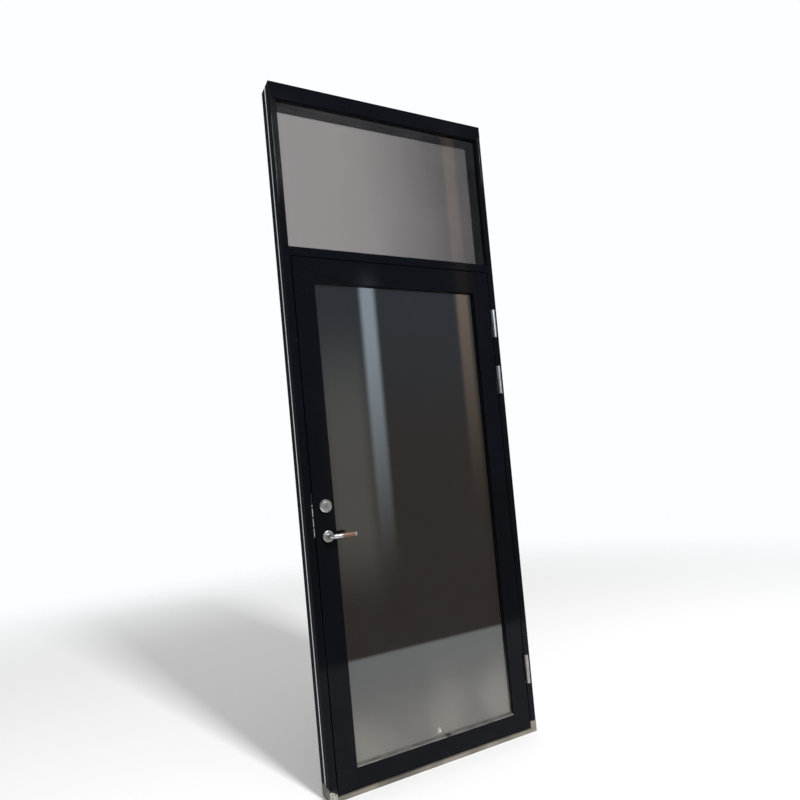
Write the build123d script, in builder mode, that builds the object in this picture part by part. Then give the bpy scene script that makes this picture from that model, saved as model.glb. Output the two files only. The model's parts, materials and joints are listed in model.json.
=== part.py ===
from build123d import *
import os
from math import cos, radians, sin

# Timber outside door: one tall glazed leaf and a fixed toplight in one frame, in millimetres.
# X runs to the right as seen from outside, Y into the building, Z up.
# The origin is the middle of the sill's underside.

# Frame
frame_width = 890.0
frame_height = 2490.0
frame_depth = 80.0
jamb_thickness = 42.0
jamb_lip = 27.0
leaf_rebate_depth = 60.0
toplight_lip = 12.0
toplight_stop_step = 13.0
head_lip = 47.0
transom_lip = 20.0
sill_height = 45.0
sill_tread = 18.0
sill_nose = 14.0
cap_thickness = 2.0
groove_offset = 37.0
groove_width = 8.0
groove_depth = 5.0
arris_radius = 2.0
seal_width = 6.0
seal_clearance = 0.3
fixing_radius = 5.0
fixing_low = 450.0
fixing_high = 1800.0

# Leaf
leaf_gap = 3.0
leaf_height = 1853.0
leaf_thickness = 56.0
stile_width = 77.0
top_rail_height = 88.0
bottom_rail_height = 71.0
strip_front_height = 3.0
strip_back_height = 8.0

# Double glazing and what holds it
glazing_lip = 11.0
glazing_pocket = 14.0
tape_thickness = 2.0
tape_width = 8.0
pane_thickness = 4.0
cavity = 16.0
spacer_width = 11.0
edge_clearance = 4.0
block_length = 80.0
block_place_share = 0.27
bead_width = 13.0
bead_chamfer = 4.0
bead_setback = 0.5

# Hinges
hinge_top_drop = 212.0
hinge_middle_drop = 443.0
hinge_bottom_rise = 237.0
hinge_length = 112.0
knuckle_radius = 7.5
knuckle_standoff = 8.0
knuckle_gap = 0.5
knuckle_offset = 4.5
pin_radius = 4.0
pin_recess = 1.5
plate_thickness = 2.5
plate_depth = 30.0
plate_screw_height_shares = (-0.38, -0.13, 0.13, 0.38)
plate_screw_depth_shares = (0.72, 0.35, 0.72, 0.35)

# Screws
screw_radius = 2.0
screw_head_radius = 3.8
screw_head_height = 1.9
screw_point = 3.0
screw_allowance = 0.05
jamb_screw_length = 15.0
leaf_screw_length = 30.0

# Lock
handle_height = 895.0
lock_centres = 105.0
backset = 43.0
case_length = 57.0
case_thickness = 16.0
case_wall = 1.5
case_margin = 24.0
mortise_clearance = 0.2
forend_thickness = 3.0
forend_width = 22.0
forend_margin = 22.0
bolt_head_width = 12.0
bolt_side_clearance = 0.4
running_clearance = 0.05

# Latch and the follower that draws it back
latch_rise = 31.0
latch_head_height = 20.0
latch_head_length = 20.0
latch_bevel = 8.0
latch_tail_height = 10.0
latch_tail_width = 6.0
latch_hook_thickness = 5.0
latch_hook_clearance = 1.6
latch_hook_lift = 1.0
handle_angle = 45.0
follower_hub_radius = 9.0
follower_arm_radius = 14.0
follower_tip_radius = 3.0

# Dead bolt and the crank that throws it
turn_angle = 90.0
bolt_drop = 14.0
bolt_head_height = 22.0
bolt_head_length = 26.0
bolt_tail_width = 4.0
bolt_tail_top = 4.8
bolt_tail_bottom = 18.0
bolt_slot_clearance = 0.8
bolt_slot_wall = 3.0
crank_radius = 12.0
crank_pin_radius = 2.0
crank_arm_width = 7.0
crank_thickness = 4.0
crank_layer_gap = 0.7
turn_hub_radius = 8.0
tail_bar_height = 8.0
tail_bar_thickness = 2.5

# Strike
strike_thickness = 2.5
strike_depth = 40.0
strike_margin = 14.0
strike_lip_width = 5.0
strike_lip_thickness = 2.0
strike_lip_below = 2.0
strike_lip_above = 13.0
strike_hole_clearance = 1.5
strike_pocket_depth = 13.0

# Handle, roses and cylinder
rose_radius = 20.0
rose_thickness = 9.0
rose_edge = 2.5
ring_radius = 22.5
ring_thickness = 12.0
ring_edge = 4.0
housing_radius = 14.0
housing_proud = 1.0
plug_proud = 0.6
keyway_width = 2.2
keyway_height = 9.0
keyway_depth = 12.0
lever_radius = 8.5
lever_start = 0.5
lever_standoff = 40.0
lever_bend = 15.0
lever_collar = 38.0
collar_radius = 9.2
collar_width = 3.0
tang_radius = 5.0
grip_length = 48.0
grip_bulge = 0.7
tip_length = 4.0
tip_edge = 1.3
spindle_side = 8.0
spindle_clearance = 0.05
spindle_socket = 22.0
spindle_hole_radius = 10.0
turn_hole_clearance = 1.0
turn_grip_gap = 0.6
turn_grip_height = 34.0
turn_grip_width = 11.0
turn_grip_depth = 17.0
turn_disc_thickness = 4.0
turn_disc_radius = 15.0

# Planes and edges that several pieces share
half_width = frame_width / 2
front = -frame_depth / 2
back = frame_depth / 2
lip_x = half_width - jamb_lip
stop_x = half_width - jamb_thickness
toplight_x = half_width - toplight_lip
stop_front = front + leaf_rebate_depth
leaf_edge = lip_x - leaf_gap
leaf_back = front + leaf_thickness
leaf_bottom = sill_tread + leaf_gap
leaf_top = leaf_bottom + leaf_height
transom_bottom = leaf_top + leaf_gap
transom_top = transom_bottom + transom_lip
leaf_stop_step = jamb_thickness - jamb_lip
toplight_top = frame_height - head_lip
toplight_stop_x = toplight_x - toplight_stop_step
toplight_stop_z = (transom_top + toplight_stop_step, toplight_top - toplight_stop_step)
sight_x = leaf_edge - stile_width
sight_top = leaf_top - top_rail_height
sight_bottom = leaf_bottom + bottom_rail_height
pocket_x = sight_x + glazing_pocket
pocket_top = sight_top + glazing_pocket
pocket_bottom = sight_bottom - glazing_pocket
lip_back = front + glazing_lip
glass_front = lip_back + tape_thickness
glass_back = glass_front + 2 * pane_thickness + cavity
glazing_seat = glass_back + tape_thickness
hinge_x = leaf_edge + leaf_gap / 2 + knuckle_offset
hinge_y = front - knuckle_standoff
hinge_heights = {
    "top": leaf_top - hinge_top_drop,
    "middle": leaf_top - hinge_middle_drop,
    "bottom": leaf_bottom + hinge_bottom_rise,
}
fixing_y = (stop_front + back) / 2

# The lock's own planes: it sits in the middle of the leaf's thickness, behind the left edge
lock_edge = -leaf_edge
lock_y = front + leaf_thickness / 2
spindle_x = lock_edge + backset
cylinder_height = handle_height + lock_centres
latch_height = handle_height + latch_rise
bolt_height = cylinder_height - bolt_drop
case_x = (lock_edge + forend_thickness, lock_edge + forend_thickness + case_length)
case_y = (lock_y - case_thickness / 2, lock_y + case_thickness / 2)
case_z = (handle_height - case_margin, cylinder_height + case_margin)
forend_z = (case_z[0] - forend_margin, case_z[1] + forend_margin)
forend_y = (lock_y - forend_width / 2, lock_y + forend_width / 2)
head_y = (lock_y - bolt_head_width / 2, lock_y + bolt_head_width / 2)
latch_z = (latch_height - latch_head_height / 2, latch_height + latch_head_height / 2)
bolt_z = (bolt_height - bolt_head_height / 2, bolt_height + bolt_head_height / 2)
latch_throw = 2 * follower_arm_radius * sin(radians(handle_angle / 2))
bolt_throw = 2 * crank_radius * sin(radians(turn_angle / 2))


def across(side, inner, outer):
    """Gives the X limits of a piece on the left (-1) or right (1) side."""
    return tuple(sorted((side * inner, side * outer)))


def grown(span, amount):
    """Moves both limits of a span outwards."""
    return (span[0] - amount, span[1] + amount)


def block(x, y, z, mode=Mode.ADD):
    """Adds or cuts a rectangular block between three pairs of limits."""
    spans = (x, y, z)
    with Locations(tuple((low + high) / 2 for low, high in spans)):
        Box(*(high - low for low, high in spans), mode=mode)


def band(x, y, z, width):
    """Adds a rectangular ring that faces Y, of one width on all sides."""
    block(x, y, z)
    block(grown(x, -width), y, grown(z, -width), mode=Mode.SUBTRACT)


def rod(axis_point, direction, radius, length, mode=Mode.ADD):
    """Adds or cuts a round bar that starts at a point and runs one way."""
    with Locations(Plane(origin=axis_point, z_dir=direction)):
        Cylinder(radius, length, align=(Align.CENTER, Align.CENTER, Align.MIN), mode=mode)


def front_edges(piece, axis):
    """Picks the edges along an axis that lie furthest to the outside."""
    return piece.edges().filter_by(axis).group_by(Axis.Y)[0]


def keep(piece, label):
    """Names a finished piece and writes it."""
    piece.part.label = label
    export_step(piece.part, f"parts/{label}.step")


def screw_shape(length, allowance=0):
    """Makes a countersunk screw whose head is at the origin and whose point is below it."""
    with BuildPart() as shape:
        with BuildSketch(Plane.XZ):
            with BuildLine():
                Polyline(
                    (0, 0),
                    (screw_head_radius + allowance, 0),
                    (screw_radius + allowance, -screw_head_height),
                    (screw_radius + allowance, screw_point - length),
                    (0, -length - allowance),
                    close=True,
                )
            make_face()
        revolve(axis=Axis.Z)
    return shape.part


def screw_group(places, length):
    """Makes separate screws at a list of planes."""
    with BuildPart() as group:
        with Locations(*places):
            add(screw_shape(length))
    return group


def screw_holes(places, length):
    """Cuts the holes that a group of screws sits in."""
    with Locations(*places):
        add(screw_shape(length, screw_allowance), mode=Mode.SUBTRACT)


def plate_screws(height, plate_x, facing):
    """Gives the four screw places of a hinge plate."""
    return [
        Plane(
            origin=(plate_x, front + deep * plate_depth, height + high * hinge_length),
            z_dir=(facing, 0, 0),
        )
        for high, deep in zip(plate_screw_height_shares, plate_screw_depth_shares)
    ]


frame_screw_places = [
    place for height in hinge_heights.values() for place in plate_screws(height, lip_x, -1)
]
leaf_screw_places = [
    place for height in hinge_heights.values() for place in plate_screws(height, leaf_edge, 1)
]
strike_z = (latch_z[0] - forend_margin, forend_z[1])
strike_lip_z = (handle_height - strike_lip_below, cylinder_height + strike_lip_above)
strike_screw_places = [
    Plane(origin=(-lip_x, lock_y, height), z_dir=(1, 0, 0))
    for height in grown(strike_z, -strike_margin / 2)
]
forend_screw_places = [
    Plane(origin=(lock_edge, lock_y, height), z_dir=(-1, 0, 0))
    for height in grown(forend_z, -forend_margin / 2)
]

os.makedirs("parts", exist_ok=True)


# Jambs, rebated for the leaf below the transom and for the glazing above it, with a lower stop there
def jamb(side):
    """Makes a jamb with its rebates, its groove and its fixing holes."""
    with BuildPart() as piece:
        block(across(side, stop_x, half_width), (front, back), (sill_height, toplight_top))
        block(across(side, stop_x, lip_x), (front, stop_front), (sill_height, transom_top), Mode.SUBTRACT)
        block(
            across(side, stop_x, toplight_x),
            (front, glazing_seat),
            (transom_top, toplight_top),
            Mode.SUBTRACT,
        )
        block(across(side, stop_x, toplight_stop_x), (glazing_seat, back), toplight_stop_z, Mode.SUBTRACT)
        fillet(front_edges(piece, Axis.Z), radius=arris_radius)
        block(
            across(side, half_width - groove_depth, half_width),
            (front + groove_offset, front + groove_offset + groove_width),
            (sill_height, toplight_top),
            Mode.SUBTRACT,
        )
        for height in (fixing_low, fixing_high):
            rod((side * stop_x, fixing_y, height), (side, 0, 0), fixing_radius, jamb_thickness, Mode.SUBTRACT)
    return piece.part


with BuildPart() as jamb_left:
    add(jamb(-1))
    block((-lip_x - strike_thickness, -lip_x), (front, front + strike_depth), strike_z, Mode.SUBTRACT)
    block(
        (-lip_x - strike_lip_width, -lip_x),
        (front, front + strike_lip_thickness),
        strike_lip_z,
        Mode.SUBTRACT,
    )
    for hole in (latch_z, bolt_z):
        block(
            (-lip_x - strike_thickness - strike_pocket_depth, -lip_x),
            grown(head_y, strike_hole_clearance),
            grown(hole, strike_hole_clearance),
            Mode.SUBTRACT,
        )
    screw_holes(strike_screw_places, jamb_screw_length)
keep(jamb_left, "jamb_left")

with BuildPart() as jamb_right:
    add(jamb(1))
    for height in hinge_heights.values():
        block(
            (lip_x, lip_x + plate_thickness),
            (front, front + plate_depth),
            (height - hinge_length / 2, height + hinge_length / 2),
            Mode.SUBTRACT,
        )
    screw_holes(frame_screw_places, jamb_screw_length)
keep(jamb_right, "jamb_right")

# Head over the jambs' ends, with the toplight's stop between them
with BuildPart() as head:
    block((-half_width, half_width), (front, back), (toplight_top, frame_height))
    block((-stop_x, stop_x), (glazing_seat, back), (toplight_stop_z[1], toplight_top))
    fillet(front_edges(head, Axis.X), radius=arris_radius)
keep(head, "head")

# Transom between leaf and toplight, with a stop for each
with BuildPart() as transom:
    block((-lip_x, lip_x), (front, stop_front), (transom_bottom, transom_top))
    block((-stop_x, stop_x), (glazing_seat, back), (transom_bottom, toplight_stop_z[0]))
    block((-stop_x, stop_x), (stop_front, back), (transom_bottom - leaf_stop_step, transom_bottom))
    fillet(front_edges(transom, Axis.X), radius=arris_radius)
keep(transom, "transom")

# Sill with a sloping tread under the leaf, a stop behind it and full ends under the jambs
with BuildPart() as sill:
    with BuildSketch(Plane.YZ.offset(-lip_x)):
        with BuildLine():
            Polyline(
                (front, 0),
                (back, 0),
                (back, sill_height),
                (stop_front, sill_height),
                (stop_front, sill_tread),
                (front, sill_nose),
                close=True,
            )
        make_face()
    extrude(amount=2 * lip_x)
    for side in (-1, 1):
        block(across(side, lip_x, half_width), (front, back), (0, sill_height))
keep(sill, "sill")

with BuildPart() as threshold_cap:
    block((-stop_x, stop_x), (stop_front, back), (sill_height, sill_height + cap_thickness))
    fillet(threshold_cap.edges().filter_by(Axis.X).group_by(Axis.Z)[-1], radius=cap_thickness / 2)
keep(threshold_cap, "threshold_cap")

with BuildPart() as frame_seal:
    seal_x = (stop_x + leaf_edge + seal_width) / 2
    band(
        (-seal_x, seal_x),
        (leaf_back + seal_clearance, stop_front),
        ((leaf_bottom + sill_height - seal_width) / 2, leaf_top - leaf_edge + seal_x),
        seal_width,
    )
keep(frame_seal, "frame_seal")


# Double glazing: two panes, the spacer between them, tape on both faces and blocks below
def glazing(name, x, z, tape_inset):
    """Writes the panes, spacer, tape and setting blocks that fill an opening's rebate."""
    unit_x = grown(x, -edge_clearance)
    unit_z = grown(z, -edge_clearance)
    cavity_y = (glass_front + pane_thickness, glass_back - pane_thickness)
    with BuildPart() as outer_pane:
        block(unit_x, (glass_front, cavity_y[0]), unit_z)
    keep(outer_pane, f"{name}_outer_pane")
    with BuildPart() as inner_pane:
        block(unit_x, (cavity_y[1], glass_back), unit_z)
    keep(inner_pane, f"{name}_inner_pane")
    with BuildPart() as spacer:
        band(unit_x, cavity_y, unit_z, spacer_width)
    keep(spacer, f"{name}_spacer")
    with BuildPart() as tape:
        for tape_y in ((lip_back, glass_front), (glass_back, glazing_seat)):
            band(grown(unit_x, -tape_inset), tape_y, grown(unit_z, -tape_inset), tape_width)
    keep(tape, f"{name}_tape")
    with BuildPart() as blocks:
        for side in (-1, 1):
            middle = side * block_place_share * (unit_x[1] - unit_x[0])
            block(
                (middle - block_length / 2, middle + block_length / 2),
                (glass_front, glass_back),
                (z[0], unit_z[0]),
            )
    keep(blocks, f"{name}_blocks")


glazing("toplight", (-toplight_x, toplight_x), (transom_top, toplight_top), 0)
glazing("leaf", (-pocket_x, pocket_x), (pocket_bottom, pocket_top), glazing_pocket - edge_clearance - tape_width)

# Outer beads of the toplight, the upright ones between the level ones
bead_y = (front + bead_setback, lip_back)
upright_z = grown((transom_top, toplight_top), -bead_width)
for side, name in ((-1, "left"), (1, "right")):
    with BuildPart() as toplight_bead:
        block(across(side, toplight_x - bead_width, toplight_x), bead_y, upright_z)
        inner_edge = front_edges(toplight_bead, Axis.Z).sort_by(Axis.X)[0 if side > 0 else -1]
        chamfer(inner_edge, length=bead_chamfer)
    keep(toplight_bead, f"toplight_bead_{name}")
for low, name in ((transom_top, "bottom"), (toplight_top - bead_width, "top")):
    with BuildPart() as toplight_bead:
        block((-toplight_x, toplight_x), bead_y, (low, low + bead_width))
        inner_edge = front_edges(toplight_bead, Axis.X).sort_by(Axis.Z)[0 if name == "top" else -1]
        chamfer(inner_edge, length=bead_chamfer)
    keep(toplight_bead, f"toplight_bead_{name}")

# Inner beads of the leaf, the level ones between the upright ones
leaf_bead_y = (glazing_seat, leaf_back - bead_setback)
for side, name in ((-1, "left"), (1, "right")):
    with BuildPart() as leaf_bead:
        block(across(side, sight_x, pocket_x), leaf_bead_y, (pocket_bottom, pocket_top))
        back_edges = leaf_bead.edges().filter_by(Axis.Z).group_by(Axis.Y)[-1]
        chamfer(back_edges.sort_by(Axis.X)[0 if side > 0 else -1], length=bead_chamfer)
    keep(leaf_bead, f"leaf_bead_{name}")
for low, name in ((pocket_bottom, "bottom"), (sight_top, "top")):
    with BuildPart() as leaf_bead:
        block((-sight_x, sight_x), leaf_bead_y, (low, low + glazing_pocket))
        back_edges = leaf_bead.edges().filter_by(Axis.X).group_by(Axis.Y)[-1]
        chamfer(back_edges.sort_by(Axis.Z)[0 if name == "top" else -1], length=bead_chamfer)
    keep(leaf_bead, f"leaf_bead_{name}")


# Stiles, grooved for the glazing, and rails whose stub tenons fill the groove's ends
def stile(side):
    """Makes a full-height stile with its glazing groove, open to the inside."""
    with BuildPart() as piece:
        block(across(side, sight_x, leaf_edge), (front, leaf_back), (leaf_bottom, leaf_top))
        block(across(side, sight_x, pocket_x), (lip_back, leaf_back), (leaf_bottom, leaf_top), Mode.SUBTRACT)
        fillet(front_edges(piece, Axis.Z), radius=arris_radius)
    return piece.part


with BuildPart() as lock_stile:
    add(stile(-1))
    block(
        (lock_edge, case_x[1] + mortise_clearance),
        grown(case_y, mortise_clearance),
        grown(case_z, mortise_clearance),
        Mode.SUBTRACT,
    )
    block((lock_edge, case_x[0]), forend_y, forend_z, Mode.SUBTRACT)
    rod((spindle_x, front, handle_height), (0, 1, 0), spindle_hole_radius, leaf_thickness, Mode.SUBTRACT)
    rod((spindle_x, front, cylinder_height), (0, 1, 0), housing_radius, lock_y - front, Mode.SUBTRACT)
    rod(
        (spindle_x, lock_y, cylinder_height),
        (0, 1, 0),
        turn_hub_radius + turn_hole_clearance,
        leaf_back - lock_y,
        Mode.SUBTRACT,
    )
    screw_holes(forend_screw_places, leaf_screw_length)
keep(lock_stile, "lock_stile")

with BuildPart() as hinge_stile:
    add(stile(1))
    for height in hinge_heights.values():
        block(
            (leaf_edge - plate_thickness, leaf_edge),
            (front, front + plate_depth),
            (height - hinge_length / 2, height + hinge_length / 2),
            Mode.SUBTRACT,
        )
    screw_holes(leaf_screw_places, leaf_screw_length)
keep(hinge_stile, "hinge_stile")

with BuildPart() as top_rail:
    block((-sight_x, sight_x), (front, lip_back), (sight_top, leaf_top))
    block((-pocket_x, pocket_x), (lip_back, leaf_back), (pocket_top, leaf_top))
    fillet(front_edges(top_rail, Axis.X), radius=arris_radius)
keep(top_rail, "top_rail")

with BuildPart() as bottom_rail:
    block((-sight_x, sight_x), (front, lip_back), (leaf_bottom, sight_bottom))
    block((-pocket_x, pocket_x), (lip_back, leaf_back), (leaf_bottom, pocket_bottom))
    fillet(front_edges(bottom_rail, Axis.X).sort_by(Axis.Z)[0], radius=arris_radius)
keep(bottom_rail, "bottom_rail")

# Sloping strip that sheds water from the glass over the bottom rail
with BuildPart() as leaf_weather_strip:
    with BuildSketch(Plane.YZ.offset(-sight_x)):
        with BuildLine():
            Polyline(
                (front, sight_bottom),
                (glass_front, sight_bottom),
                (glass_front, sight_bottom + strip_back_height),
                (front, sight_bottom + strip_front_height),
                close=True,
            )
        make_face()
    extrude(amount=2 * sight_x)
    fillet(front_edges(leaf_weather_strip, Axis.X).sort_by(Axis.Z)[-1], radius=strip_front_height / 2)
keep(leaf_weather_strip, "leaf_weather_strip")


# Lift-off hinges: the frame's half below with the pin, the leaf's half above
def hinge_half(height, plate_x, knuckle_z, bore_radius, screws, screw_length):
    """Makes a plate let into an edge and the knuckle that it carries in front of the door."""
    with BuildPart() as half:
        block(plate_x, (front, front + plate_depth), (height - hinge_length / 2, height + hinge_length / 2))
        block(plate_x, (hinge_y, front), knuckle_z)
        knuckle_length = knuckle_z[1] - knuckle_z[0]
        rod((hinge_x, hinge_y, knuckle_z[0]), (0, 0, 1), knuckle_radius, knuckle_length)
        rod((hinge_x, hinge_y, knuckle_z[0]), (0, 0, 1), bore_radius, knuckle_length, Mode.SUBTRACT)
        screw_holes(screws, screw_length)
    return half


for name, height in hinge_heights.items():
    frame_half = hinge_half(
        height,
        (lip_x, lip_x + plate_thickness),
        (height - hinge_length / 2, height - knuckle_gap / 2),
        pin_radius,
        plate_screws(height, lip_x, -1),
        jamb_screw_length,
    )
    keep(frame_half, f"hinge_{name}_frame_half")
    leaf_half = hinge_half(
        height,
        (leaf_edge - plate_thickness, leaf_edge),
        (height + knuckle_gap / 2, height + hinge_length / 2),
        pin_radius + running_clearance,
        plate_screws(height, leaf_edge, 1),
        leaf_screw_length,
    )
    keep(leaf_half, f"hinge_{name}_leaf_half")

with BuildPart() as hinge_pins:
    for height in hinge_heights.values():
        rod((hinge_x, hinge_y, height - hinge_length / 2), (0, 0, 1), pin_radius, hinge_length - pin_recess)
keep(hinge_pins, "hinge_pins")

# Screws of the hinges and the strike in the jambs, and of the hinges and the forend in the stiles
keep(screw_group(frame_screw_places + strike_screw_places, jamb_screw_length), "frame_screws")
keep(screw_group(leaf_screw_places + forend_screw_places, leaf_screw_length), "leaf_screws")

# Strike plate in the left jamb, with a lip that turns round the jamb's front edge
with BuildPart() as strike_plate:
    block((-lip_x - strike_thickness, -lip_x), (front, front + strike_depth), strike_z)
    block(
        (-lip_x - strike_lip_width, -lip_x),
        (front, front + strike_lip_thickness),
        strike_lip_z,
    )
    for hole in (latch_z, bolt_z):
        block(
            (-lip_x - strike_thickness, -lip_x),
            grown(head_y, strike_hole_clearance),
            grown(hole, strike_hole_clearance),
            Mode.SUBTRACT,
        )
    screw_holes(strike_screw_places, jamb_screw_length)
keep(strike_plate, "strike_plate")

# Lock case, open towards the forend that closes it
with BuildPart() as lock_case:
    block(case_x, case_y, case_z)
    block(
        (case_x[0], case_x[1] - case_wall),
        grown(case_y, -case_wall),
        grown(case_z, -case_wall),
        Mode.SUBTRACT,
    )
    for height, radius in ((handle_height, follower_hub_radius), (cylinder_height, turn_hub_radius)):
        rod(
            (spindle_x, case_y[0], height),
            (0, 1, 0),
            radius + running_clearance,
            case_thickness,
            Mode.SUBTRACT,
        )
keep(lock_case, "lock_case")

with BuildPart() as lock_forend:
    block((lock_edge, case_x[0]), forend_y, forend_z)
    for hole in (latch_z, bolt_z):
        block(
            (lock_edge, case_x[0]),
            grown(head_y, bolt_side_clearance),
            grown(hole, bolt_side_clearance),
            Mode.SUBTRACT,
        )
    screw_holes(forend_screw_places, leaf_screw_length)
keep(lock_forend, "lock_forend")

# Follower: a hub round the spindle and an arm that leans towards the forend at rest
rest_lean = handle_angle / 2
with BuildPart() as follower:
    rod((spindle_x, case_y[0], handle_height), (0, 1, 0), follower_hub_radius, case_thickness)
    with BuildSketch(Plane.XZ.offset(-lock_y - latch_tail_width / 2)):
        arm_middle = (
            spindle_x - follower_arm_radius * sin(radians(rest_lean)) / 2,
            handle_height + follower_arm_radius * cos(radians(rest_lean)) / 2,
        )
        with Locations(arm_middle):
            SlotCenterToCenter(follower_arm_radius, 2 * follower_tip_radius, rotation=90 + rest_lean)
    extrude(amount=latch_tail_width)
    hole_side = spindle_side / 2 + spindle_clearance
    block(
        (spindle_x - hole_side, spindle_x + hole_side),
        case_y,
        (handle_height - hole_side, handle_height + hole_side),
        Mode.SUBTRACT,
    )
keep(follower, "follower")

# Latch: a bevelled head and a tail with the hook that the follower's arm draws
hook_x = spindle_x - latch_throw / 2 + follower_tip_radius + latch_hook_clearance
tail_y = (lock_y - latch_tail_width / 2, lock_y + latch_tail_width / 2)
with BuildPart() as latch_bolt:
    block((lock_edge - latch_throw, lock_edge + latch_head_length), head_y, latch_z)
    bevel_edge = latch_bolt.edges().filter_by(Axis.Z).group_by(Axis.Y)[-1].sort_by(Axis.X)[0]
    chamfer(bevel_edge, length=latch_bevel)
    block(
        (lock_edge + latch_head_length, hook_x + latch_hook_thickness),
        tail_y,
        (latch_height - latch_tail_height / 2, latch_height + latch_tail_height / 2),
    )
    block(
        (hook_x, hook_x + latch_hook_thickness),
        tail_y,
        (handle_height + follower_hub_radius + latch_hook_lift, latch_height),
    )
keep(latch_bolt, "latch_bolt")

# Dead bolt: a plain head and a slotted tail for the crank's pin
pin_reach = bolt_throw / 2
slot_x = (
    spindle_x + pin_reach - crank_pin_radius - bolt_slot_clearance,
    spindle_x + pin_reach + crank_pin_radius + bolt_slot_clearance,
)
pin_high = crank_radius * cos(radians(turn_angle / 2)) - crank_pin_radius - bolt_side_clearance
pin_low = crank_radius + crank_pin_radius + bolt_side_clearance
bolt_tail_y = (lock_y - crank_layer_gap - bolt_tail_width, lock_y - crank_layer_gap)
with BuildPart() as dead_bolt:
    block((lock_edge, lock_edge + bolt_head_length), head_y, bolt_z)
    block(
        (lock_edge + bolt_head_length, slot_x[1] + bolt_slot_wall),
        bolt_tail_y,
        (cylinder_height - bolt_tail_bottom, cylinder_height - bolt_tail_top),
    )
    block(slot_x, bolt_tail_y, (cylinder_height - pin_low, cylinder_height - pin_high), Mode.SUBTRACT)
keep(dead_bolt, "dead_bolt")

# Crank on the tail bar, with the pin that runs in the dead bolt's slot
bar_hole_z = tail_bar_height / 2 + spindle_clearance
bar_hole_x = tail_bar_thickness / 2 + spindle_clearance
with BuildPart() as bolt_crank:
    rod((spindle_x, lock_y, cylinder_height), (0, 1, 0), turn_hub_radius, case_thickness / 2)
    with BuildSketch(Plane.XZ.offset(-lock_y)):
        with Locations((spindle_x + pin_reach / 2, cylinder_height - pin_reach / 2)):
            SlotCenterToCenter(crank_radius, crank_arm_width, rotation=-turn_angle / 2)
    extrude(amount=-crank_thickness)
    rod(
        (spindle_x + pin_reach, bolt_tail_y[0], cylinder_height - pin_reach),
        (0, 1, 0),
        crank_pin_radius,
        bolt_tail_width + crank_layer_gap,
    )
    block(
        (spindle_x - bar_hole_x, spindle_x + bar_hole_x),
        (lock_y, case_y[1]),
        (cylinder_height - bar_hole_z, cylinder_height + bar_hole_z),
        Mode.SUBTRACT,
    )
keep(bolt_crank, "bolt_crank")

# Cylinder: a tapered ring on the leaf, a fixed housing and a plug with a keyway
plug_front = front - ring_thickness - housing_proud - plug_proud
with BuildPart() as cylinder_ring:
    rod((spindle_x, front, cylinder_height), (0, -1, 0), ring_radius, ring_thickness)
    chamfer(front_edges(cylinder_ring, GeomType.CIRCLE), length=ring_edge)
    rod((spindle_x, front, cylinder_height), (0, -1, 0), housing_radius, ring_thickness, Mode.SUBTRACT)
keep(cylinder_ring, "cylinder_ring")

with BuildPart() as cylinder_housing:
    housing_length = case_y[0] - front + ring_thickness + housing_proud
    housing_start = (spindle_x, case_y[0], cylinder_height)
    rod(housing_start, (0, -1, 0), housing_radius, housing_length)
    fillet(front_edges(cylinder_housing, GeomType.CIRCLE), radius=housing_proud)
    rod(housing_start, (0, -1, 0), turn_hub_radius + running_clearance, housing_length, Mode.SUBTRACT)
keep(cylinder_housing, "cylinder_housing")

with BuildPart() as cylinder_plug:
    rod((spindle_x, plug_front, cylinder_height), (0, 1, 0), turn_hub_radius, case_y[0] - plug_front)
    block(
        (spindle_x - keyway_width / 2, spindle_x + keyway_width / 2),
        (plug_front, plug_front + keyway_depth),
        (cylinder_height - keyway_height / 2, cylinder_height + keyway_height / 2),
        Mode.SUBTRACT,
    )
keep(cylinder_plug, "cylinder_plug")

with BuildPart() as tail_bar:
    block(
        (spindle_x - tail_bar_thickness / 2, spindle_x + tail_bar_thickness / 2),
        case_y,
        (cylinder_height - tail_bar_height / 2, cylinder_height + tail_bar_height / 2),
    )
keep(tail_bar, "tail_bar")


# Roses on both faces of the leaf
def rose(face_y, outward, height, bore_radius):
    """Makes a round rose on a face of the leaf, with the bore that a shaft turns in."""
    with BuildPart() as piece:
        rod((spindle_x, face_y, height), (0, outward, 0), rose_radius, rose_thickness)
        faces_out = piece.edges().filter_by(GeomType.CIRCLE).sort_by(Axis.Y)
        fillet(faces_out[0 if outward < 0 else -1], radius=rose_edge)
        rod((spindle_x, face_y, height), (0, outward, 0), bore_radius, rose_thickness, Mode.SUBTRACT)
    return piece


keep(rose(front, -1, handle_height, lever_radius + running_clearance), "outer_rose")
keep(rose(leaf_back, 1, handle_height, lever_radius + running_clearance), "inner_rose")
keep(rose(leaf_back, 1, cylinder_height, turn_hub_radius + running_clearance), "turn_rose")

# Thumb turn: a shaft through the rose, a disc and an upright grip
disc_start = leaf_back + rose_thickness + turn_grip_gap
with BuildPart() as thumb_turn:
    rod((spindle_x, case_y[1], cylinder_height), (0, 1, 0), turn_hub_radius, disc_start - case_y[1])
    rod((spindle_x, disc_start, cylinder_height), (0, 1, 0), turn_disc_radius, turn_disc_thickness)
    with BuildSketch(Plane.XZ.offset(-disc_start)):
        with Locations((spindle_x, cylinder_height)):
            SlotOverall(turn_grip_height, turn_grip_width, rotation=90)
    extrude(amount=-turn_grip_depth)
    fillet(thumb_turn.faces().sort_by(Axis.Y)[-1].edges(), radius=turn_grip_width / 4)
keep(thumb_turn, "thumb_turn")


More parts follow.
